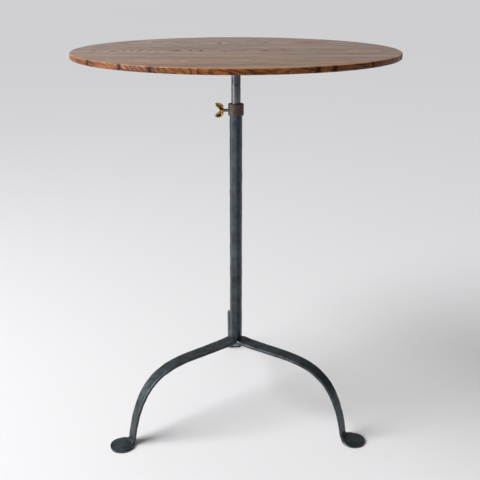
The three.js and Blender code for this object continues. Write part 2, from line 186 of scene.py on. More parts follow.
def close_up(piece, doubles=0.01):
    """Merges doubled corners and turns every face outwards."""
    take_up(piece)
    bpy.ops.object.mode_set(mode="EDIT")
    bpy.ops.mesh.select_all(action="SELECT")
    bpy.ops.mesh.remove_doubles(threshold=doubles * MM)
    bpy.ops.mesh.normals_make_consistent(inside=False)
    bpy.ops.object.mode_set(mode="OBJECT")


def place(piece, turn=(0, 0, 0), move=(0, 0, 0)):
    """Turns a finished mesh by degrees, moves it by millimetres, and fixes both into the mesh."""
    take_up(piece)
    bpy.ops.object.transform_apply(location=True, rotation=True, scale=True)
    piece.rotation_euler = [math.radians(angle) for angle in turn]
    piece.location = Vector(move) * MM
    bpy.ops.object.transform_apply(location=True, rotation=True, scale=True)


def hammer(piece, size, depth, seed=0.0):
    """Leaves the shallow dents of a planishing hammer of this face size, in millimetres. Another seed
    gives other dents."""
    dents = bpy.data.textures.new(piece.name + "_dents", "CLOUDS")
    dents.noise_scale = size * MM
    dents.noise_depth = 1
    piece.location.z += seed * MM
    take_up(piece)
    bpy.ops.object.transform_apply(location=True, rotation=False, scale=False)
    apply(piece, "DISPLACE", texture=dents, strength=depth * MM, mid_level=0.5, texture_coords="LOCAL")
    piece.location.z -= seed * MM
    bpy.ops.object.transform_apply(location=True, rotation=False, scale=False)


def fit(piece, name, body, finish, slot, nodes, angle=40):
    """Names a finished piece, gives it its finish, and puts it in the frame in place of its nodes."""
    take_up(piece)
    piece.name = name
    piece.data.name = name
    bpy.ops.object.shade_smooth_by_angle(angle=math.radians(angle))
    piece.data.materials.clear()
    piece.data.materials.append(finish)
    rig.ride(piece, body)
    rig.slot(piece, slot)
    if nodes:
        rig.replaces(piece, *nodes)


def linear(code):
    """An sRGB hex colour in linear light."""
    parts = [int(code[i:i + 2], 16) / 255 for i in (1, 3, 5)]
    return [c / 12.92 if c <= 0.04045 else ((c + 0.055) / 1.055) ** 2.4 for c in parts] + [1.0]


def add(material, kind, sockets=None, stops=None, **settings):
    """Adds a node with its settings, and fills or links its sockets by name or number."""
    node = material.node_tree.nodes.new(kind)
    for name, value in settings.items():
        setattr(node, name, value)
    if stops:
        bands = node.color_ramp.elements
        while len(bands) < len(stops):
            bands.new(1.0)
        for band, (position, colour) in zip(bands, stops):
            band.position = position
            band.color = linear(colour) if isinstance(colour, str) else [colour] * 3 + [1.0]
    for name, value in (sockets or {}).items():
        socket = node.inputs[name]
        if isinstance(value, bpy.types.NodeSocket):
            material.node_tree.links.new(value, socket)
        else:
            socket.default_value = value
    return node


def new_finish(name):
    """An empty material with its shader and its place on the object."""
    material = bpy.data.materials.new(name)
    material.use_nodes = True
    shader = material.node_tree.nodes["Principled BSDF"]
    place_on = add(material, "ShaderNodeTexCoord").outputs["Object"]
    return material, shader, place_on


def forged(name, dark, light, worn, rust, rust_amount, roughness, metallic):
    """Hand-forged iron: scale and wax leave a mottled blue-black, rubbed bright on corners and high
    spots, with brown rust starting in the hollows. Hammer marks are 12 mm across; the scale's grain,
    really 0.2 mm, is drawn at 0.7 mm so that it shows."""
    material, shader, where = new_finish(name)
    mottle = add(material, "ShaderNodeTexNoise",
                 {"Vector": where, "Scale": 1 / 0.022, "Detail": 5, "Roughness": 0.62})
    grain = add(material, "ShaderNodeTexNoise", {"Vector": where, "Scale": 1 / 0.0014, "Detail": 3})
    blows = add(material, "ShaderNodeTexVoronoi", {"Vector": where, "Scale": 1 / 0.012, "Randomness": 1.0},
                feature="SMOOTH_F1")
    tone = add(material, "ShaderNodeValToRGB", {"Fac": mottle.outputs["Fac"]}, [(0.3, dark), (0.7, light)])
    edge = add(material, "ShaderNodeNewGeometry")
    wear = add(material, "ShaderNodeMapRange",
               {"Value": edge.outputs["Pointiness"], "From Min": 0.51, "From Max": 0.57, "To Max": 0.9})
    scuffed = add(material, "ShaderNodeMath", {0: wear.outputs["Result"], 1: grain.outputs["Fac"]},
                  operation="MULTIPLY")
    rubbed = add(material, "ShaderNodeMix",
                 {0: scuffed.outputs["Value"], 6: tone.outputs["Color"], 7: linear(worn)}, data_type="RGBA")
    bloom = add(material, "ShaderNodeTexNoise",
                {"Vector": where, "Scale": 1 / 0.006, "Detail": 6, "Roughness": 0.7})
    patch = add(material, "ShaderNodeMapRange",
                {"Value": bloom.outputs["Fac"], "From Min": 0.62 - rust_amount,
                 "From Max": 0.74 - rust_amount * 0.6, "To Max": min(1.0, 0.45 + rust_amount * 2)})
    rusted = add(material, "ShaderNodeMix",
                 {0: patch.outputs["Result"], 6: rubbed.outputs[2], 7: linear(rust)}, data_type="RGBA")
    shine = add(material, "ShaderNodeMapRange",
                {"Value": mottle.outputs["Fac"], "From Min": 0.3, "From Max": 0.7,
                 "To Min": roughness - 0.09, "To Max": roughness + 0.12})
    dull = add(material, "ShaderNodeMath",
               {0: shine.outputs["Result"], 1: patch.outputs["Result"], 2: shine.outputs["Result"]},
               operation="MULTIPLY_ADD", use_clamp=True)
    dented = add(material, "ShaderNodeBump",
                 {"Height": blows.outputs["Distance"], "Strength": 0.35, "Distance": 0.5 * MM})
    pitted = add(material, "ShaderNodeBump",
                 {"Height": grain.outputs["Fac"], "Strength": 0.3, "Distance": 0.12 * MM,
                  "Normal": dented.outputs["Normal"]})
    link = material.node_tree.links.new
    link(rusted.outputs[2], shader.inputs["Base Color"])
    link(dull.outputs["Value"], shader.inputs["Roughness"])
    link(pitted.outputs["Normal"], shader.inputs["Normal"])
    shader.inputs["Metallic"].default_value = metallic
    return material


black_iron = forged(
    "forged_iron_blued_and_waxed", dark="#262a2d", light="#4a5459", worn="#b4bdc3", rust="#3e3028",
    rust_amount=0.02, roughness=0.36, metallic=0.85)

bpy.ops.mesh.primitive_cylinder_add(
    vertices=8, radius=POST_RADIUS * MM, depth=(POST_TOP - POST_BOTTOM) * MM,
    location=(0, 0, (POST_TOP + POST_BOTTOM) / 2 * MM))
post = bpy.context.object
place(post)
pick(post, lambda a, b: abs(a.z - b.z) > LENGTHWISE, "EDGE")
bpy.ops.mesh.bevel(offset=POST_ARRIS * MM, segments=3)
pick(post, lambda centre, normal: abs(normal.z) > 0.9)
bpy.ops.mesh.inset(thickness=POST_WALL * MM)
for end in (POST_BOTTOM, POST_TOP):
    pick(post, lambda corner: abs(corner.z - end) < 1 and corner.xy.length < POST_RADIUS - 1.5, "VERT")
    bpy.ops.transform.tosphere(value=1.0)
    bpy.ops.object.mode_set(mode="OBJECT")
    ring = [v.co.xy.length for v in post.data.vertices if v.select]
    grow = POST_BORE * MM * len(ring) / sum(ring)
    bpy.ops.object.mode_set(mode="EDIT")
    bpy.ops.transform.resize(value=(grow, grow, 1), center_override=(0, 0, end * MM))
pick(post, lambda centre, normal: abs(normal.z) > 0.9 and math.hypot(centre.x, centre.y) < 1)
bpy.ops.mesh.delete(type="ONLY_FACE")
pick(post, lambda a, b: abs(a.z - b.z) < 1 and max(a.xy.length, b.xy.length) < POST_BORE + 0.1, "EDGE")
bpy.ops.mesh.bridge_edge_loops()
pick(post, lambda a, b: abs(a.z - b.z) > LENGTHWISE, "EDGE")
bpy.ops.mesh.subdivide(number_cuts=POST_RINGS)
pick(post, lambda a, b: min(a.xy.length, b.xy.length) > POST_BORE + 0.4 and abs(a.z - b.z) < 1
     and (a - b).length > 3, "EDGE")
bpy.ops.mesh.subdivide(number_cuts=3)
close_up(post)
hammer(post, HAMMER_FACE, POST_DENTS)
pick(post, lambda corner: corner.xy.length < POST_BORE + 0.5, "VERT")
bpy.ops.mesh.vertices_smooth(factor=0.5, repeat=2)
fit(post, "post_tube_forged", "base", black_iron, "black_iron", ["post_tube"], 25)


# --- Plug in the post's foot ---
# A turned iron plug driven up into the tube's end from below and peened over. It shows as a low dome
# between the legs.


def raised(profile, around=48, ring=False):
    """A round body raised from a disc at the profile's first (radius, height), one extruded ring at a
    time. A ring has a hole through it, and its profile comes back to where it began."""
    radius, height = profile[0]
    bpy.ops.mesh.primitive_circle_add(
        vertices=around, radius=radius * MM, fill_type="NOTHING" if ring else "NGON",
        location=(0, 0, height * MM))
    body = bpy.context.object
    bpy.ops.object.mode_set(mode="EDIT")
    for (r0, z0), (r1, z1) in zip(profile, profile[1:]):
        bpy.ops.mesh.extrude_region_move(TRANSFORM_OT_translate={"value": (0, 0, (z1 - z0) * MM)})
        bpy.ops.transform.resize(value=(r1 / r0, r1 / r0, 1), center_override=(0, 0, z1 * MM))
    bpy.ops.object.mode_set(mode="OBJECT")
    place(body)
    close_up(body)
    return body


def rounding(radius, height, size, start, end, steps=4):
    """Points of a rounded corner about (radius, height), from one angle to another in degrees."""
    angles = [math.radians(start + (end - start) * i / steps) for i in range(steps + 1)]
    return [(radius + size * math.cos(a), height + size * math.sin(a)) for a in angles]


PLUG_RADIUS = 9.9
PLUG_DOME = 3.4
PLUG_FACE = 145.8

dome = [math.radians(angle) for angle in (18, 32, 46, 60, 74, 86)]
plug = raised([(1.5, PLUG_FACE - 3.5)]
              + [(PLUG_RADIUS * math.sin(angle), PLUG_FACE - PLUG_DOME * math.cos(angle)) for angle in dome]
              + [(8.7, 146.2), (8.7, 159.5), (1.0, 159.5)], 32)
apply(plug, "SUBSURF", levels=1, render_levels=1)
hammer(plug, 6, 0.5)
fit(plug, "post_plug_peened", "base", black_iron, "black_iron", ["post_plug"])


# --- Legs ---
# Three straps of flat iron, 30 by 5.5 mm, drawn down to 20 mm at the ankle, bent in one sweep and
# spread under the hammer into a thin round penny foot. They are welded to the post at their roots. The
# back one is 16 mm longer than the front ones, and narrower at its root.

STRAP_THICKNESS = 5.5
STRAP_CORNER = 1.4
LEG_ROOT = Vector((8, 156.6))
LEG_ANKLE = Vector((234.5, 11))
ROOT_SLOPE = 0.173
ROOT_PULL = 113
ANKLE_SLOPE = 1.42
ANKLE_PULL = 166
ARCH_STEPS = 120
ANKLE_STEPS = 14
FOOT_STEPS = 16
FOOT_CENTRE = 256.4
FOOT_LONG = 22.0
FOOT_WIDE = 23.6
FOOT_SPREAD = 244
FOOT_THINNED = 1.9
STRAP_HALF_WIDTHS = [(0, 0.5), (8.4, 14.2), (12, 15), (150, 13.3), (205, 12), (236.5, 10.2)]
NARROW_HALF_WIDTHS = [(0, 0.5), (6.6, 11.3), (14, 11.8), (40, 13.4), (150, 13.3), (205, 12), (236.5, 10.2)]
FOOT_RIM = 238
RIM_BANDS = [(0.55, 0.25), (0.7, 0.3), (0.82, 0.35), (0.91, 0.35)]
BACK_LONGER = 16.4
LEG_DENTS = 1.0


def leg_line(longer):
    """Points down the middle of a leg from its root, as (distance from the post, height, slope). The
    foot's points have no height: it lies on the floor, as thick as it is there."""
    ankle = LEG_ANKLE + Vector((longer, 0))
    pull = [LEG_ROOT, LEG_ROOT + ROOT_PULL * Vector((math.cos(ROOT_SLOPE), -math.sin(ROOT_SLOPE))),
            ankle - ANKLE_PULL * Vector((math.cos(ANKLE_SLOPE), -math.sin(ANKLE_SLOPE))), ankle]
    points = [(r, LEG_ROOT.y + (LEG_ROOT.x - r) * math.tan(ROOT_SLOPE), ROOT_SLOPE) for r in (4.0, 5.5, 6.8)]
    for i in range(ARCH_STEPS + 1):
        t = i / ARCH_STEPS
        u = 1 - t
        at = u**3 * pull[0] + 3 * u * u * t * pull[1] + 3 * u * t * t * pull[2] + t**3 * pull[3]
        along = u * u * (pull[1] - pull[0]) + 2 * u * t * (pull[2] - pull[1]) + t * t * (pull[3] - pull[2])
        points.append((at.x, at.y, math.atan2(-along.y, along.x)))
    bend = (ankle.y - STRAP_THICKNESS / 2) / (1 - math.cos(ANKLE_SLOPE))
    middle = ankle + bend * Vector((math.sin(ANKLE_SLOPE), math.cos(ANKLE_SLOPE)))
    for i in range(1, ANKLE_STEPS + 1):
        slope = ANKLE_SLOPE * (1 - i / ANKLE_STEPS)
        points.append((middle.x - bend * math.sin(slope), middle.y - bend * math.cos(slope), slope))
    reach = points[-1][0]
    out = FOOT_CENTRE + longer + FOOT_LONG - 0.25 - reach
    for i in range(1, FOOT_STEPS + 1):
        points.append((reach + out * math.sin(math.pi / 2 * i / FOOT_STEPS), None, 0.0))
    return points


def half_width(distance, longer):
    """Half the strap's width at a distance from the post, out to the round end of the foot."""
    across = min(0.9995, abs(distance - longer - FOOT_CENTRE) / FOOT_LONG)
    foot = FOOT_WIDE * math.sqrt(1 - across * across)
    widths = NARROW_HALF_WIDTHS if longer else STRAP_HALF_WIDTHS
    if distance - longer > widths[-1][0]:
        return foot
    at = distance if distance < 40 else distance - longer * (distance - 40) / (200 + longer)
    for (r0, w0), (r1, w1) in zip(widths, widths[1:]):
        if at <= r1:
            return w0 + (w1 - w0) * (at - r0) / (r1 - r0)
    return widths[-1][1]


def forge_leg(longer):
    """One leg along +X, drawn out section by section from its root to the rim of its foot."""
    stations = leg_line(longer)
    r0, z0, slope0 = stations[0]
    bpy.ops.mesh.primitive_plane_add(size=1)
    leg = bpy.context.object
    leg.scale = (STRAP_THICKNESS * MM, 2 * half_width(40, longer) * MM, 1)
    place(leg)
    pick(leg, lambda corner: True, "VERT")
    bpy.ops.mesh.bevel(offset=STRAP_CORNER * MM, segments=3, affect="VERTICES")
    pick(leg, lambda a, b: abs(a.x - b.x) < 0.01 and abs(a.y - b.y) > 5, "EDGE")
    bpy.ops.mesh.subdivide(number_cuts=7)
    place(leg, turn=(0, 90, 0))
    place(leg, turn=(0, math.degrees(slope0), 0), move=(r0, 0, z0))
    pick(leg, lambda centre, normal: True)
    narrow = half_width(r0, longer) / half_width(40, longer)
    bpy.ops.transform.resize(value=(1, narrow, 1), center_override=(r0 * MM, 0, z0 * MM))
    thick = STRAP_THICKNESS
    for (x0, z0, slope0), (x1, z1, slope1) in zip(stations, stations[1:]):
        beaten = min(1.0, max(0.0, (x1 - longer - FOOT_SPREAD) / 30))
        new_thick = STRAP_THICKNESS - FOOT_THINNED * beaten
        z0 = thick / 2 if z0 is None else z0
        z1 = new_thick / 2 if z1 is None else z1
        centre = (x1 * MM, 0, z1 * MM)
        bpy.ops.mesh.extrude_region_move(
            TRANSFORM_OT_translate={"value": ((x1 - x0) * MM, 0, (z1 - z0) * MM)})
        if abs(slope1 - slope0) > 1e-6:
            bpy.ops.transform.rotate(value=slope0 - slope1, orient_axis="Y", center_override=centre)
        spread = half_width(x1, longer) / half_width(x0, longer)
        bpy.ops.transform.resize(
            value=(1, spread, new_thick / thick if slope1 == 0 else 1), center_override=centre)
        thick = new_thick
    close_up(leg)
    for band, drop in RIM_BANDS:
        pick(leg, lambda corner: corner.x - longer > FOOT_SPREAD + 2 and 3 < corner.z < 6 and math.hypot(
            (corner.x - longer - FOOT_CENTRE) / FOOT_LONG, corner.y / FOOT_WIDE) > band, "VERT")
        bpy.ops.transform.translate(value=(0, 0, -drop * MM))
    apply(leg, "SUBSURF", levels=1, render_levels=1)
    return leg


front_leg = forge_leg(0)
back_leg = forge_leg(BACK_LONGER)
for name, pattern, azimuth in (("back", back_leg, 90), ("left", front_leg, 210), ("right", front_leg, 330)):
    take_up(pattern)
    bpy.ops.object.duplicate()
    strap = bpy.context.object
    place(strap, turn=(0, 0, azimuth))
    hammer(strap, HAMMER_FACE, LEG_DENTS, seed=azimuth)
    pick(strap, lambda corner: corner.z < 0.5 and corner.xy.length > FOOT_RIM, "VERT")
    bpy.ops.transform.resize(value=(1, 1, 0), center_override=(0, 0, 0))
    fit(strap, "leg_" + name + "_strap", "base", black_iron, "black_iron", ["leg_" + name], 50)
for pattern in (front_leg, back_leg):
    take_up(pattern)
    bpy.ops.object.delete()


# --- Weld at the hub ---
# The bead of weld run round the foot of the post, which ties the three strap roots to it. It is
# ground back and hammered over.

WELD_HAMMER = 5
WELD_DENTS = 1.0

weld = raised([(10.9, 150.5)] + rounding(10.9, 155.2, 1.9, -80, 60, 6) + [(11.2, 160.2), (10.4, 161.6)], 48)
apply(weld, "SUBSURF", levels=1, render_levels=1)
hammer(weld, WELD_HAMMER, WELD_DENTS)
fit(weld, "hub_weld", "base", black_iron, "black_iron", [])


# --- Collar ---
# A band of iron shrunk onto the tube's mouth and closed over it round the rod. It was left unwaxed
# and carries a thin brown bloom of rust. The clamp screw goes in through its left side.

SCREW_HEIGHT = 624
SCREW_HOLE = 3.45
TUBE_WALL = (-16, -8)
rusty_iron = forged(
    "rusted_iron_collar", dark="#332b2b", light="#5f504d", worn="#a99a95", rust="#613a2d",
    rust_amount=0.14, roughness=0.46, metallic=0.4)


def drill(piece, radius, start, end, axis="X", at=(0, 0, SCREW_HEIGHT)):
    """Drills a round hole through the piece from start to end along the axis."""
    length = end - start
    bpy.ops.mesh.primitive_cylinder_add(vertices=32, radius=radius * MM, depth=length * MM)
    bit = bpy.context.object
    middle = Vector(at)
    turn = (0, 0, 0)
    if axis == "X":
        middle.x = (start + end) / 2
        turn = (0, 90, 0)
    else:
        middle.z = (start + end) / 2
    place(bit, turn=turn, move=middle)
    apply(piece, "BOOLEAN", operation="DIFFERENCE", solver="EXACT", object=bit)
    take_up(bit)
    bpy.ops.object.delete()
    take_up(piece)


collar = raised([(12.2, 614.7), (12.9, 614.7)] + rounding(13.2, 616.1, 1.4, -80, 0)
                + [(14.55, 620), (14.65, 626), (14.6, 631)] + rounding(13.4, 635.4, 1.2, 0, 85)
                + [(12.0, 636.7), (10.6, 636.6)] + rounding(10.5, 635.9, 0.75, 100, 180)
                + [(9.75, 631.2), (12.2, 631.2), (12.2, 614.7)], 64, ring=True)
pick(collar, lambda a, b: abs(a.z - b.z) > 2, "EDGE")
bpy.ops.mesh.subdivide(number_cuts=2)
apply(collar, "SUBSURF", levels=1, render_levels=1)
hammer(collar, 8, 0.35)
drill(collar, SCREW_HOLE, *TUBE_WALL)
fit(collar, "collar_shrunk_on", "base", rusty_iron, "rusty_iron", ["post_collar"])
drill(post, SCREW_HOLE, *TUBE_WALL)


# --- Clamp screw ---
# A 6 mm iron screw with a 1 mm thread through the collar. Its brass pad bears on the rod without
# marking it, and its cast brass wing has two dished oval ears for finger and thumb.

THREAD_PITCH = 1.0
THREAD_TURNS = 17
THREAD_STEPS = 24
THREAD_START = 12
THREAD_ROOT = 2.75
THREAD_DEPTH = 0.6
CREST = 0.4
EAR_OUT = 31.2
EAR_OFFSET = 8.7
EAR_LEAN = 0.35
WEB = (4.0, 1.0, 7.0)
RIM = (3.75, 6.5, 6.4)
WING_SKIN = 0.32

stud = raised([(1.0, 11.5), (2.4, 11.5), (THREAD_ROOT, 12.0), (THREAD_ROOT, 30.3), (2.2, 30.9),
               (1.0, 30.9)], 32)
bpy.ops.mesh.primitive_plane_add(size=1)
thread = bpy.context.object
thread.scale = (THREAD_DEPTH * MM, THREAD_PITCH * MM, 1)
place(thread, turn=(90, 0, 0), move=(THREAD_ROOT, 0, THREAD_START))
pick(thread, lambda corner: corner.x > THREAD_ROOT + 0.15, "VERT")
bpy.ops.transform.resize(value=(1, 1, CREST), center_override=(0, 0, THREAD_START * MM))
apply(thread, "SCREW", angle=math.tau * THREAD_TURNS, screw_offset=THREAD_TURNS * THREAD_PITCH * MM,
      iterations=1, steps=THREAD_TURNS * THREAD_STEPS, render_steps=THREAD_TURNS * THREAD_STEPS, axis="Z",
      use_merge_vertices=True)
close_up(thread, 0.001)
take_up(stud)
thread.select_set(True)
bpy.ops.object.join()
place(stud, turn=(0, -90, 0), move=(0, 0, SCREW_HEIGHT))
fit(stud, "clamp_stud_threaded", "clamp", black_iron, "black_iron", ["clamp_stud"], 30)


def cast_brass(name, bright, dull, dark):
    """Cast brass, handled for years: tarnished olive-brown in the dishes, rubbed bright on its rims.
    The casting's grain, really 0.2 mm, is drawn at 0.8 mm so that it shows."""
    material, shader, where = new_finish(name)
    edge = add(material, "ShaderNodeNewGeometry")
    cloud = add(material, "ShaderNodeTexNoise",
                {"Vector": where, "Scale": 1 / 0.004, "Detail": 5, "Roughness": 0.65})
    sand = add(material, "ShaderNodeTexNoise", {"Vector": where, "Scale": 1 / 0.0008, "Detail": 2})
    wear = add(material, "ShaderNodeMapRange",
               {"Value": edge.outputs["Pointiness"], "From Min": 0.49, "From Max": 0.54, "To Max": 0.6})
    patchy = add(material, "ShaderNodeMath", {0: wear.outputs["Result"], 1: cloud.outputs["Fac"]},
                 operation="ADD")
    tone = add(material, "ShaderNodeValToRGB", {"Fac": patchy.outputs["Value"]},
               [(0.5, dark), (0.7, dull), (0.86, bright)])
    shine = add(material, "ShaderNodeMapRange",
                {"Value": patchy.outputs["Value"], "From Min": 0.4, "From Max": 1.2,
                 "To Min": 0.55, "To Max": 0.25})
    rough = add(material, "ShaderNodeBump",
                {"Height": sand.outputs["Fac"], "Strength": 0.25, "Distance": 0.1 * MM})
    link = material.node_tree.links.new
    link(tone.outputs["Color"], shader.inputs["Base Color"])
    link(shine.outputs["Result"], shader.inputs["Roughness"])
    link(rough.outputs["Normal"], shader.inputs["Normal"])
    shader.inputs["Metallic"].default_value = 1.0
    return material


brass = cast_brass("cast_brass_tarnished", "#f0d494", "#8f6c36", "#3d2e1c")

pad = raised([(1.0, 9.0), (2.1, 9.0), (2.35, 9.3), (2.35, 10.7), (2.0, 11.0), (1.0, 11.0)], 32)
place(pad, turn=(0, -90, 0), move=(0, 0, SCREW_HEIGHT))
fit(pad, "clamp_pad_brass", "clamp", brass, "brass", ["clamp_pad"])

wing = raised([(3.4, 22.8), (4.4, 22.8), (4.9, 23.4), (4.9, 26.5), (4.5, 29.5), (3.6, 31.8), (2.0, 32.4)],
              32)
for side in (1, -1):
    bpy.ops.mesh.primitive_uv_sphere_add(segments=40, ring_count=20, radius=1)
    web = bpy.context.object
    web.scale = [side_length * MM for side_length in WEB]
    place(web)
    bpy.ops.mesh.primitive_torus_add(
        major_radius=1, minor_radius=0.34, major_segments=48, minor_segments=16)
    rim = bpy.context.object
    rim.scale = [side_length * MM for side_length in RIM]
    place(rim)
    place(rim, turn=(90, 0, 0))
    take_up(web)
    rim.select_set(True)
    bpy.ops.object.join()
    place(web, turn=(0, side * math.degrees(EAR_LEAN), 0), move=(side * EAR_OFFSET, 0, EAR_OUT))
    take_up(wing)
    web.select_set(True)
    bpy.ops.object.join()
apply(wing, "REMESH", mode="VOXEL", voxel_size=WING_SKIN * MM)
apply(wing, "SMOOTH", factor=0.6, iterations=4)
place(wing, turn=(0, -90, 0), move=(0, 0, SCREW_HEIGHT))
fit(wing, "clamp_wing_cast", "clamp", brass, "brass", ["clamp_wing"], 60)


# --- Guide bush and its screw ---
# A brass bush on the rod's lower end keeps it central in the tube and lets it turn. A washer and a
# cheese-head screw hold it up. All of it stays hidden inside the post.

SLOT_TURN = 35


def plain_steel(name, light, dark, roughness):
    """Plain turned steel gone dull in the air: fine tool lines, really 0.1 mm apart, drawn at 0.5 mm."""
    material, shader, where = new_finish(name)
    cloud = add(material, "ShaderNodeTexNoise", {"Vector": where, "Scale": 1 / 0.003, "Detail": 4})
    lines = add(material, "ShaderNodeTexNoise", {"Vector": where, "Scale": 1 / 0.0005, "Detail": 2})
    tone = add(material, "ShaderNodeValToRGB", {"Fac": cloud.outputs["Fac"]}, [(0.35, dark), (0.65, light)])
    shine = add(material, "ShaderNodeMapRange",
                {"Value": cloud.outputs["Fac"], "To Min": roughness + 0.15, "To Max": roughness - 0.1})
    marks = add(material, "ShaderNodeBump",
                {"Height": lines.outputs["Fac"], "Strength": 0.25, "Distance": 0.06 * MM})
    link = material.node_tree.links.new
    link(tone.outputs["Color"], shader.inputs["Base Color"])
    link(shine.outputs["Result"], shader.inputs["Roughness"])
    link(marks.outputs["Normal"], shader.inputs["Normal"])
    shader.inputs["Metallic"].default_value = 1.0
    return material


screw_steel = plain_steel("dull_turned_steel", "#8e8b85", "#5e5a55", 0.4)

bush = raised([(5.3, 296.4), (8.3, 296.4), (8.65, 296.8), (8.65, 319.2), (8.3, 319.6), (5.3, 319.6),
               (5.3, 296.4)], 48, ring=True)
fit(bush, "guide_bush_brass", "guide", brass, "brass", ["guide_bush"])

washer = raised([(2.8, 294.25), (7.8, 294.25), (8.0, 294.45), (8.0, 295.5), (7.8, 295.65), (2.8, 295.65),
                 (2.8, 294.25)], 48, ring=True)
fit(washer, "bush_washer_steel", "rod", screw_steel, "screw_steel", ["bush_washer"])


def slot_head(piece, at, width, reach, depth, face):
    """Cuts a driver slot across a screw head whose outer face is at this height, facing down."""
    bpy.ops.mesh.primitive_cube_add(size=1)
    blade = bpy.context.object
    blade.scale = (2 * reach * MM, width * MM, 2 * depth * MM)
    place(blade)
    place(blade, turn=(0, 0, SLOT_TURN), move=(at[0], at[1], face))
    apply(piece, "BOOLEAN", operation="DIFFERENCE", solver="EXACT", object=blade)
    take_up(blade)
    bpy.ops.object.delete()
    take_up(piece)


end_screw = raised([(1.0, 289.5), (3.6, 289.5), (4.5, 290.1), (4.9, 290.9), (4.9, 293.3), (2.45, 293.4),
                    (2.45, 307), (1.0, 307.3)], 32)
slot_head(end_screw, (0, 0), 1.2, 6, 1.5, 289.5)
fit(end_screw, "bush_screw_slotted", "rod", screw_steel, "screw_steel", ["bush_screw"])


# --- Sliding rod ---
# A round bar of 17 mm, drawn and hammered lightly true, polished grey where it slides in the post. Its
# shouldered tenon comes up through the head plate and is riveted over.

ROD_RADIUS = 8.55
ROD_RINGS = 110
ROD_HAMMER = 16
ROD_DENTS = 0.32
END_SCREW_HOLE = 2.6
rod_iron = forged(
    "drawn_iron_rod", dark="#32343a", light="#707378", worn="#bcbec0", rust="#4c3f36",
    rust_amount=0.0, roughness=0.34, metallic=0.9)

rod = raised([(1.0, 296.1), (4.9, 296.1), (5.0, 296.3), (5.0, 319.9), (8.2, 320.1), (ROD_RADIUS, 320.5),
              (ROD_RADIUS, 714.8), (8.1, 715.5), (6.0, 715.6), (6.0, 718.9), (7.6, 720.4), (6.5, 720.6),
              (1.0, 720.6)], 64)
drill(rod, END_SCREW_HOLE, 290, 309, "Z", (0, 0, 0))
pick(rod, lambda a, b: abs(a.z - b.z) > LENGTHWISE, "EDGE")
bpy.ops.mesh.subdivide(number_cuts=ROD_RINGS)
hammer(rod, ROD_HAMMER, ROD_DENTS)
fit(rod, "inner_rod_drawn", "rod", rod_iron, "rod_iron", ["inner_rod"])


# --- Tilt hinge ---
# Two iron plates with rolled knuckles on one pin, along the front edge of the plates. The lower one is
# riveted to the rod, the upper one is screwed under the top, and the top swings up on them.

PIN_PLACE = (0, -52, 717)
PIN_HOLE = 2.75
PLATE_FRONT = -46
HEAD_BOTTOM = 715.9
HEAD_THICK = 5
TENON_HOLE = 6.25


def plate(width, back, bottom, thick, corner):
    """A flat plate with rounded corners and softened edges."""
    bpy.ops.mesh.primitive_cube_add(size=1)
    flat = bpy.context.object
    flat.scale = (width * MM, (back - PLATE_FRONT) * MM, thick * MM)
    place(flat)
    place(flat, move=(0, (back + PLATE_FRONT) / 2, bottom + thick / 2))
    pick(flat, lambda a, b: abs(a.z - b.z) > 1, "EDGE")
    bpy.ops.mesh.bevel(offset=corner * MM, segments=8)
    pick(flat, lambda a, b: abs(a.z - b.z) < 0.01, "EDGE")
    bpy.ops.mesh.bevel(offset=0.5 * MM, segments=2)
    take_up(flat)
    return flat


def weld_on(piece, other):
    """Makes the other solid part of this one."""
    apply(piece, "BOOLEAN", operation="UNION", solver="EXACT", object=other)
    take_up(other)
    bpy.ops.object.delete()
    take_up(piece)


def rolled_knuckle(flat, x0, x1, bottom, thick):
    """Rolls a strip of the plate's front edge into a knuckle round the pin."""
    half = (x1 - x0) / 2
    barrel = raised([(1.0, -half), (5.1, -half), (5.5, 0.4 - half), (5.5, half - 0.4), (5.1, half),
                     (1.0, half)], 40)
    place(barrel, turn=(0, 90, 0), move=((x0 + x1) / 2, PIN_PLACE[1], PIN_PLACE[2]))
    bpy.ops.mesh.primitive_cube_add(size=1)
    arm = bpy.context.object
    arm.scale = (2 * (half - 0.2) * MM, 8 * MM, (thick - 0.2) * MM)
    place(arm)
    place(arm, move=((x0 + x1) / 2, PIN_PLACE[1] + 4, bottom + thick / 2))
    weld_on(barrel, arm)
    weld_on(flat, barrel)


head_plate = plate(width=96, back=46, bottom=HEAD_BOTTOM, thick=HEAD_THICK, corner=8)
for x0, x1 in ((-34, -14), (14, 34)):
    rolled_knuckle(head_plate, x0, x1, HEAD_BOTTOM, HEAD_THICK)
drill(head_plate, PIN_HOLE, -60, 60, "X", PIN_PLACE)
drill(head_plate, TENON_HOLE, 700, 719.2, "Z", (0, 0, 0))
sink = raised([(6.2, 718.0), (6.2, 719.0), (8.4, 721.2), (8.4, 723)], 48)
apply(head_plate, "BOOLEAN", operation="DIFFERENCE", solver="EXACT", object=sink)
take_up(sink)
bpy.ops.object.delete()
fit(head_plate, "head_plate_forged", "rod", black_iron, "black_iron", ["head_plate"], 35)

pin = raised([(0.8, -35.4), (1.9, -35.1), (2.45, -34.3), (2.45, 34.3), (1.9, 35.1), (0.8, 35.4)], 32)
place(pin, turn=(0, 90, 0), move=PIN_PLACE)
fit(pin, "hinge_pin_steel", "rod", screw_steel, "screw_steel", ["hinge_pin"])

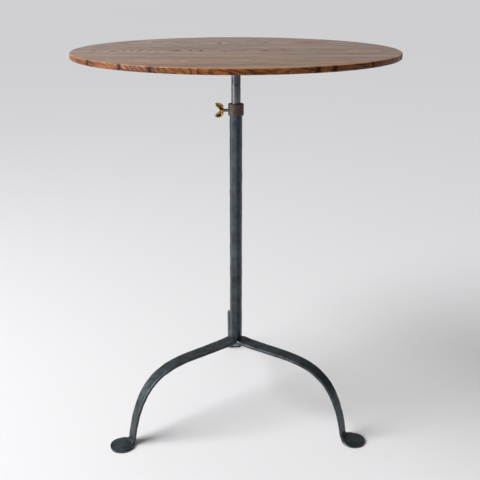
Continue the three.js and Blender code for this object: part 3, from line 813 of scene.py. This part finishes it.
CATCH_Y = 56
CATCH_HOLE = 2.3
PLATE_SCREWS = [(x, y) for x in (-58, 58) for y in (-36, 10, 56)]
PLATE_BOTTOM = 721.2
PLATE_THICK = 3.4
SCREW_SINK = 4.5
top_plate = plate(width=136, back=68, bottom=PLATE_BOTTOM, thick=PLATE_THICK, corner=6)
rolled_knuckle(top_plate, -13.4, 13.4, PLATE_BOTTOM, PLATE_THICK)
drill(top_plate, PIN_HOLE, -30, 30, "X", PIN_PLACE)
drill(top_plate, CATCH_HOLE, 700, 730, "Z", (0, CATCH_Y, 0))
for x, y in PLATE_SCREWS:
    drill(top_plate, SCREW_SINK, PLATE_BOTTOM - 1.2, PLATE_BOTTOM + 1.2, "Z", (x, y, 0))
fit(top_plate, "top_plate_forged", "top", black_iron, "black_iron", ["top_plate"], 35)


# --- Top ---
# Three solid boards of a ring-porous hardwood, glued edge to edge and turned round, 10 mm thick with a
# softened rim. Oiled and waxed, worn at the rim, with small knots, pores and a few old knocks.

TOP_RADIUS = 295
TOP_THICKNESS = 10
TOP_HEIGHT = 735
TOP_EDGE = 2
BOARD_WIDTH = 2 * TOP_RADIUS / 3
GLUE_LINE = 0.06
KNOTS = [(-207, 15, 3.2), (-183, -24, 3.6), (-21, -49, 2.6), (11, -136, 3.0), (156, 134, 3.6),
         (-241, -170, 3.4), (-184, -231, 3.6), (-136, -262, 4.4), (111, -273, 3.8), (137, -261, 4.6),
         (204, -213, 3.4), (60, 190, 3.0), (-120, 214, 2.8)]
LOOPS = [(-214, -18, 34, 54, 3.3), (-160, -30, 24, 44, 1.2), (-96, -48, 30, 42, 1.5),
         (-30, -70, 24, 34, 0.8), (96, -120, 36, 44, 1.6), (170, 60, 40, 62, 1.8), (-40, 140, 40, 50, 1.6)]
KNOCKS = [(296.5, 3, 736.5, 3.4), (294.5, -14, 737.2, 3.2), (-296.8, -18, 736.8, 3.2),
          (-130, -265.8, 736.6, 2.6), (208, -211.5, 723.8, 2.8)]


def waxed_hardwood(name):
    """Solid ring-porous hardwood, oiled and waxed. Growth rings 4 mm apart run round a heart that lies
    nearly along X under each board, so the face shows long loops and the ends show arcs. On the rim the
    fibres run out in dark slanting streaks. Pores, really 0.2 mm wide, are drawn 0.5 mm wide so that they
    show. The wax gives a soft pale sheen, broken at the pores and knots, and is rubbed off the rim."""
    material, shader, where = new_finish(name)
    link = material.node_tree.links.new
    parts = add(material, "ShaderNodeSeparateXYZ", {"Vector": where})
    x, y, z = parts.outputs

    def maths(operation, *values):
        return add(material, "ShaderNodeMath", dict(enumerate(values)), operation=operation).outputs["Value"]

    def stretched(scale, detail, roughness=0.5):
        along = add(material, "ShaderNodeMapping", {"Vector": where, "Scale": scale}).outputs["Vector"]
        return add(material, "ShaderNodeTexNoise", {"Vector": along, "Scale": 1.0, "Detail": detail,
                                                    "Roughness": roughness}).outputs["Fac"]

    def between(value, low, high, to_low=0.0, to_high=1.0):
        return add(material, "ShaderNodeMapRange", {"Value": value, "From Min": low, "From Max": high,
                                                    "To Min": to_low, "To Max": to_high}).outputs["Result"]

    def blend(amount, under, over, kind="MIX"):
        return add(material, "ShaderNodeMix", {0: amount, 6: under, 7: over}, data_type="RGBA",
                   blend_type=kind).outputs[2]

    board = maths("FLOOR", maths("DIVIDE", maths("ADD", y, TOP_RADIUS * MM), BOARD_WIDTH * MM))
    from_middle = maths("SUBTRACT", board, 1.0)
    sway = maths("MULTIPLY", maths("SUBTRACT", stretched((3.2, 8.0, 8.0), 2), 0.5), 0.075)
    heart_y = maths("ADD", maths("MULTIPLY", from_middle, (BOARD_WIDTH - 34) * MM), -0.022)
    across = maths("ADD", maths("SUBTRACT", y, heart_y), sway)
    bow = maths("ADD", maths("MULTIPLY", x, -0.07), maths("MULTIPLY", maths("MULTIPLY", x, x), 0.12))
    sink = maths("ADD", maths("MULTIPLY", from_middle, 0.014), 0.032 - TOP_HEIGHT * MM)
    depth = maths("ADD", maths("ADD", maths("ADD", z, sink), bow), maths("MULTIPLY", sway, 0.5))
    heart = maths("SQRT", maths("ADD", maths("MULTIPLY", across, across), maths("MULTIPLY", depth, depth)))
    rings = maths("ADD", maths("DIVIDE", heart, 0.004), maths("MULTIPLY", stretched((14, 70, 70), 3), 1.6))
    for loop_x, loop_y, wide, deep, strength in LOOPS:
        off_x = maths("DIVIDE", maths("SUBTRACT", x, loop_x * MM), wide * MM)
        off_y = maths("DIVIDE", maths("SUBTRACT", y, loop_y * MM), deep * MM)
        spread = maths("ADD", maths("MULTIPLY", off_x, off_x), maths("MULTIPLY", off_y, off_y))
        swell = maths("POWER", math.e, maths("MULTIPLY", spread, -1.0))
        rings = maths("ADD", rings, maths("MULTIPLY", swell, strength))
    year = maths("FRACT", rings)
    early = add(material, "ShaderNodeValToRGB", {"Fac": year},
                [(0.0, 1.0), (0.16, 0.9), (0.4, 0.22), (0.93, 0.0), (1.0, 0.7)]).outputs["Color"]
    season = between(stretched((2.5, 40, 40), 3), 0.35, 0.65, 0.35, 1.0)
    ringed = maths("MULTIPLY", early, season)
    pores = between(stretched((55, 1900, 1900), 2), 0.54, 0.64)
    open_pores = maths("MULTIPLY", pores, maths("ADD", maths("MULTIPLY", ringed, 0.85), 0.15))
    fibres = stretched((22, 900, 900), 4, 0.6)
    clouds = stretched((4, 26, 26), 5, 0.62)

    body = add(material, "ShaderNodeValToRGB", {"Fac": clouds},
               [(0.34, "#51331c"), (0.5, "#784f2a"), (0.66, "#9e723b")]).outputs["Color"]
    streaked = blend(maths("MULTIPLY", ringed, 0.92), body, linear("#3c1f0e"))
    fibred = blend(between(fibres, 0.4, 0.72, 0.0, 0.35), streaked, linear("#c08d58"))
    pored = blend(maths("MULTIPLY", open_pores, 0.75), fibred, linear("#2c170d"))
    board_tint = add(material, "ShaderNodeValToRGB", {"Fac": maths("MULTIPLY", board, 0.5)},
                     [(0.0, "#ffffff"), (0.5, "#f1e6dc"), (1.0, "#fbf2e6")]).outputs["Color"]
    tinted = blend(1.0, pored, board_tint, "MULTIPLY")

    knot = None
    wobble = maths("MULTIPLY", maths("SUBTRACT", stretched((160, 240, 240), 2), 0.5), 0.004)
    for knot_x, knot_y, size in KNOTS:
        away_x = maths("MULTIPLY", maths("SUBTRACT", x, knot_x * MM), 0.6)
        away_y = maths("MULTIPLY", maths("SUBTRACT", y, knot_y * MM), 0.6)
        squared = maths("ADD", maths("MULTIPLY", away_x, away_x), maths("MULTIPLY", away_y, away_y))
        spot = between(maths("ADD", maths("SQRT", squared), wobble), size * MM, 0.25 * size * MM)
        knot = spot if knot is None else maths("MAXIMUM", knot, spot)
    knotted = blend(maths("MULTIPLY", knot, 0.85), tinted, linear("#2a160e"))

    radius = maths("SQRT", maths("ADD", maths("MULTIPLY", x, x), maths("MULTIPLY", y, y)))
    arris = maths("MULTIPLY", between(radius, 0.2925, 0.2934), between(z, 0.7336, 0.7342))
    worn = maths("MULTIPLY", arris, between(stretched((60, 60, 60), 3), 0.38, 0.6, 0.05, 0.6))
    rubbed = blend(worn, knotted, linear("#bd7b41"))
    side = maths("MULTIPLY", between(radius, 0.2932, 0.2944), between(z, 0.7345, 0.7335))
    runout = maths("ADD", z, maths("MULTIPLY", x, 0.3))
    slant = add(material, "ShaderNodeCombineXYZ", {
        0: maths("MULTIPLY", x, 28.0), 1: maths("MULTIPLY", runout, 420.0), 2: maths("MULTIPLY", y, 28.0)
    }).outputs["Vector"]
    slanting = add(material, "ShaderNodeTexNoise", {"Vector": slant, "Scale": 1.0, "Detail": 4,
                                                    "Roughness": 0.6}).outputs["Fac"]
    streaks = maths("MULTIPLY", side, between(slanting, 0.48, 0.6, 0.0, 0.85))
    sided = blend(streaks, blend(side, rubbed, linear("#ecc39a"), "MULTIPLY"), linear("#341809"))
    below = between(z, 0.7262, 0.7250)
    final = blend(maths("MULTIPLY", below, 0.35), sided, linear("#6a4a33"))

    smear = stretched((30, 45, 45), 4, 0.6)
    shine = maths("ADD", between(smear, 0.3, 0.7, 0.26, 0.4), maths("MULTIPLY", open_pores, 0.25))
    matt = maths("ADD", maths("ADD", shine, maths("MULTIPLY", ringed, 0.25)), maths("MULTIPLY", side, 0.12))
    dull = maths("ADD", matt, maths("MULTIPLY", below, 0.22))
    relief = maths("ADD", maths("MULTIPLY", open_pores, -1.0), maths("MULTIPLY", early, -0.25))
    bumpy = add(material, "ShaderNodeBump", {"Height": relief, "Strength": 0.6, "Distance": 0.2 * MM})
    wavy = add(material, "ShaderNodeBump", {"Height": stretched((18, 30, 30), 2), "Strength": 0.25,
                                            "Distance": 0.5 * MM, "Normal": bumpy.outputs["Normal"]})
    link(final, shader.inputs["Base Color"])
    link(dull, shader.inputs["Roughness"])
    link(wavy.outputs["Normal"], shader.inputs["Normal"])
    shader.inputs["IOR"].default_value = 1.5
    broken = maths("MAXIMUM", maths("MULTIPLY", ringed, 0.85), maths("MULTIPLY", knot, 0.8))
    whole = maths("SUBTRACT", 1.0, broken)
    link(maths("MULTIPLY", between(side, 0.0, 1.0, 0.55, 0.15), whole), shader.inputs["Coat Weight"])
    link(maths("MULTIPLY", between(side, 0.0, 1.0, 0.5, 0.25), whole), shader.inputs["Specular IOR Level"])
    shader.inputs["Coat Roughness"].default_value = 0.26
    return material


hardwood = waxed_hardwood("waxed_ring_porous_hardwood")

bpy.ops.mesh.primitive_cylinder_add(
    vertices=360, radius=TOP_RADIUS * MM, depth=TOP_THICKNESS * MM,
    location=(0, 0, (TOP_HEIGHT - TOP_THICKNESS / 2) * MM))
disc = bpy.context.object
place(disc)
pick(disc, lambda a, b: abs(a.z - b.z) < 0.01, "EDGE")
bpy.ops.mesh.bevel(offset=TOP_EDGE * MM, segments=5)
take_up(disc)
for x, y, z, size in KNOCKS:
    bpy.ops.mesh.primitive_ico_sphere_add(subdivisions=3, radius=size * MM)
    knock = bpy.context.object
    knock.scale = (1.0, 2.0, 0.8)
    place(knock)
    place(knock, turn=(0, 0, math.degrees(math.atan2(y, x))), move=(x, y, z))
    apply(disc, "BOOLEAN", operation="DIFFERENCE", solver="EXACT", object=knock)
    take_up(knock)
    bpy.ops.object.delete()
for board in range(3):
    take_up(disc)
    bpy.ops.object.duplicate()
    plank = bpy.context.object
    near = -TOP_RADIUS + board * BOARD_WIDTH
    for cut, keep_above in ((near + GLUE_LINE / 2, True), (near + BOARD_WIDTH - GLUE_LINE / 2, False)):
        if abs(cut) > TOP_RADIUS - 1:
            continue
        pick(plank, lambda centre, normal: True)
        bpy.ops.mesh.bisect(
            plane_co=(0, cut * MM, 0), plane_no=(0, 1, 0), use_fill=True,
            clear_inner=keep_above, clear_outer=not keep_above)
    close_up(plank)
    node = "top_board_%d" % (board + 1)
    fit(plank, node + "_planed", "top", hardwood, "oak", [node], 30)
take_up(disc)
bpy.ops.object.delete()


# --- Battens ---
# Two bars of the same wood screwed across the grain under the boards to keep them flat, their ends
# chamfered upwards so that they stay out of sight.

BATTEN_X = 95
BATTEN_SIZE = (36, 300, 15.6)
BATTEN_MIDDLE = 717
BATTEN_CHAMFER = 9
BATTEN_SCREWS = [(x, y) for x in (-BATTEN_X, BATTEN_X) for y in (-125, 0, 125)]
BATTEN_SINK = 4.4


def batten_wood():
    """The top's wood again, its grain along Y and plainer: straight rings and open pores."""
    material, shader, where = new_finish("waxed_batten_wood")
    long_way = add(material, "ShaderNodeMapping", {"Vector": where, "Scale": (260, 9, 260)})
    fibre = add(material, "ShaderNodeMapping", {"Vector": where, "Scale": (1100, 30, 1100)})
    grain = add(material, "ShaderNodeTexNoise",
                {"Vector": long_way.outputs["Vector"], "Scale": 1.0, "Detail": 4})
    pore = add(material, "ShaderNodeTexNoise",
               {"Vector": fibre.outputs["Vector"], "Scale": 1.0, "Detail": 3})
    tone = add(material, "ShaderNodeValToRGB", {"Fac": grain.outputs["Fac"]},
               [(0.32, "#5c3820"), (0.5, "#835432"), (0.7, "#9c6c42")])
    dark = add(material, "ShaderNodeMapRange",
               {"Value": pore.outputs["Fac"], "From Min": 0.57, "From Max": 0.68, "To Max": 0.7})
    mixed = add(material, "ShaderNodeMix", {0: dark.outputs["Result"], 6: tone.outputs["Color"],
                                            7: linear("#2f1b10")}, data_type="RGBA")
    shine = add(material, "ShaderNodeMapRange",
                {"Value": grain.outputs["Fac"], "To Min": 0.65, "To Max": 0.42})
    bump = add(material, "ShaderNodeBump",
               {"Height": pore.outputs["Fac"], "Strength": 0.4, "Distance": 0.15 * MM})
    link = material.node_tree.links.new
    link(mixed.outputs[2], shader.inputs["Base Color"])
    link(shine.outputs["Result"], shader.inputs["Roughness"])
    link(bump.outputs["Normal"], shader.inputs["Normal"])
    return material


plain_wood = batten_wood()
for name, x in (("left", -BATTEN_X), ("right", BATTEN_X)):
    bpy.ops.mesh.primitive_cube_add(size=1)
    batten = bpy.context.object
    batten.scale = [side_length * MM for side_length in BATTEN_SIZE]
    place(batten)
    place(batten, move=(x, 0, BATTEN_MIDDLE))
    pick(batten, lambda a, b: a.z < 712 and b.z < 712 and abs(a.y - b.y) < 1, "EDGE")
    bpy.ops.mesh.bevel(offset=BATTEN_CHAMFER * MM, segments=1)
    pick(batten, lambda a, b: min(a.z, b.z) < 724, "EDGE")
    bpy.ops.mesh.bevel(offset=0.8 * MM, segments=3)
    take_up(batten)
    for screw_x, screw_y in BATTEN_SCREWS:
        if screw_x == x:
            drill(batten, BATTEN_SINK, 700, 711.2, "Z", (screw_x, screw_y, 0))
    fit(batten, "batten_%s_planed" % name, "top", plain_wood, "oak", ["batten_" + name])


# --- Wood screws ---
# Slotted countersunk steel screws: six through the hinge plate and six through the battens, driven up
# into the boards until their heads lie flush.

SCREW_CORE = 1.35
SCREW_CREST = 1.85
SCREW_PITCH = 1.2
SCREW_TURNS = 8
PLATE_SCREW_SQUEEZE = 0.66
BATTEN_SCREW_FACE = 709.0
SCREW_STOPS = 47


def wood_screw(face):
    """A countersunk screw with a driver slot and a tapering thread, its head's face at this height."""
    core = [(SCREW_CORE, face + 2.9)]
    for turn in range(SCREW_TURNS):
        at = face + 3.3 + turn * SCREW_PITCH
        last = turn == SCREW_TURNS - 1
        core += [(0.8 if last else SCREW_CORE, at), (1.1 if last else SCREW_CREST, at + SCREW_PITCH / 2)]
    screw = raised([(1.0, face + 0.35), (3.7, face + 0.35), (3.95, face + 0.6)] + core
                   + [(0.3, face + 13.4)], 24)
    slot_head(screw, (0, 0), 0.9, 5, 0.9, face + 0.35)
    return screw


for kind, face, spots, squeeze in (("plate", PLATE_BOTTOM, PLATE_SCREWS, PLATE_SCREW_SQUEEZE),
                                   ("batten", BATTEN_SCREW_FACE, BATTEN_SCREWS, 1.0)):
    pattern = wood_screw(face)
    for number, (x, y) in enumerate(spots, 1):
        take_up(pattern)
        bpy.ops.object.duplicate()
        screw = bpy.context.object
        if squeeze < 1:
            pick(screw, lambda corner: corner.z > face + 3, "VERT")
            bpy.ops.transform.resize(value=(1, 1, squeeze), center_override=(0, 0, (face + 3) * MM))
            take_up(screw)
        place(screw, turn=(0, 0, SCREW_STOPS * number), move=(x, y, 0))
        fit(screw, "%s_screw_%d_slotted" % (kind, number), "top", screw_steel, "screw_steel",
            ["%s_screw_%d" % (kind, number)], 30)
    take_up(pattern)
    bpy.ops.object.delete()


# --- Turn button ---
# A small tapered iron bar on a shouldered screw under the top. Turned across, its nose goes under the
# head plate and locks the top level; a steel spacer holds it off the plate above.

BUTTON_TOP = 715.3
BUTTON_TAIL = 8
BUTTON_NOSE = -25.5
BUTTON_TAPER = 0.64
button = raised([(1.0, BUTTON_TOP - 3), (6.3, BUTTON_TOP - 3), (7.0, BUTTON_TOP - 2.3),
                 (7.0, BUTTON_TOP - 0.4), (6.7, BUTTON_TOP), (1.0, BUTTON_TOP)], 48)
place(button, move=(BUTTON_TAIL, 0, 0))
pick(button, lambda corner: corner.x < BUTTON_TAIL, "VERT")
bpy.ops.transform.translate(value=((BUTTON_NOSE - BUTTON_TAIL) * MM, 0, 0))
bpy.ops.transform.resize(value=(BUTTON_TAPER, BUTTON_TAPER, 1), center_override=(BUTTON_NOSE * MM, 0, 0))
place(button, move=(0, CATCH_Y, 0))
drill(button, CATCH_HOLE, 700, 730, "Z", (0, CATCH_Y, 0))
fit(button, "catch_button_forged", "catch", black_iron, "black_iron", ["catch_button"], 35)

spacer = raised([(2.25, 715.7), (5.2, 715.7), (5.45, 715.95), (5.45, 720.6), (5.2, 720.85), (2.25, 720.85),
                 (2.25, 715.7)], 40, ring=True)
place(spacer, move=(0, CATCH_Y, 0))
fit(spacer, "catch_spacer_steel", "top", screw_steel, "screw_steel", ["catch_spacer"])

pivot = raised([(1.0, 709.45), (2.8, 709.5), (3.8, 710.0), (4.45, 710.9), (4.5, 711.9), (1.95, 712.0),
                (1.95, 731.2), (1.0, 731.5)], 32)
slot_head(pivot, (0, 0), 1.0, 6, 1.1, 709.45)
place(pivot, move=(0, CATCH_Y, 0))
fit(pivot, "catch_screw_slotted", "top", screw_steel, "screw_steel", ["catch_screw"], 30)


# --- Floor, light and camera ---
# A pale studio floor that runs on as the background, a large soft light high on the left, a smaller one
# at half height beside it, and the camera about a metre and a third away, a little above the top.

FLOOR_SIZE = 600
KEY_POWER = 2.75
KEY_ANGLE = math.radians(40)
SIDE_POWER = 62
SIDE_SIZE = 1.6
LAMPS = [("key_light", "SUN", (-3.2, -0.9, 3), (0, 0, 0), KEY_POWER, KEY_ANGLE),
         ("side_light", "AREA", (-2.3, -0.9, 1.1), (0, 0, 0.5), SIDE_POWER, SIDE_SIZE)]
CAMERA_SPOT = (-0.04775, -1.33913, 0.85585)
CAMERA_TILT = 73.79
CAMERA_TURN = -2.042

bpy.ops.mesh.primitive_plane_add(size=FLOOR_SIZE)
floor = bpy.context.object
floor.name = "studio_floor"
paper, paper_shader = new_finish("pale_paper_floor")[:2]
paper_shader.inputs["Base Color"].default_value = linear("#dbdbdd")
paper_shader.inputs["Roughness"].default_value = 0.9
floor.data.materials.append(paper)
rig.stage(floor)

world = bpy.data.worlds.new("studio_air")
world.use_nodes = True
air = world.node_tree.nodes["Background"]
air.inputs["Color"].default_value = linear("#eeeeee")
toward = add(world, "ShaderNodeTexCoord").outputs["Generated"]
side_of = add(world, "ShaderNodeSeparateXYZ", {"Vector": toward})
left_side = add(world, "ShaderNodeMapRange",
                {"Value": side_of.outputs["X"], "From Min": 0.7, "From Max": -0.7,
                 "To Min": 0.0, "To Max": 0.5})
far_side = add(world, "ShaderNodeMapRange",
               {"Value": side_of.outputs["Y"], "From Min": -0.2, "From Max": 0.9,
                "To Min": 0.0, "To Max": 0.33})
glow = add(world, "ShaderNodeMath", {0: left_side.outputs["Result"], 1: far_side.outputs["Result"]},
           operation="ADD")
world.node_tree.links.new(glow.outputs["Value"], air.inputs["Strength"])
bpy.context.scene.world = world

for name, kind, spot, aim, power, spread in LAMPS:
    bpy.ops.object.light_add(type=kind, location=spot)
    lamp = bpy.context.object
    lamp.name = name
    lamp.data.energy = power
    lamp.rotation_euler = (Vector(aim) - Vector(spot)).to_track_quat("-Z", "Y").to_euler()
    if kind == "SUN":
        lamp.data.angle = spread
    else:
        lamp.data.size = spread

bpy.ops.object.camera_add(
    location=CAMERA_SPOT, rotation=(math.radians(CAMERA_TILT), 0, math.radians(CAMERA_TURN)))
camera = bpy.context.object
camera.data.lens = 54.73
camera.data.sensor_width = 36
camera.data.shift_x = 0.0084
camera.data.shift_y = -0.10
bpy.context.scene.camera = camera
bpy.context.scene.view_settings.view_transform = "Standard"

size = open("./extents.json", "w")
size.write(json.dumps({"cad": [list(c) for c in start_bounds], "visual": [list(c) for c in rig.bounds()]}))
size.close()
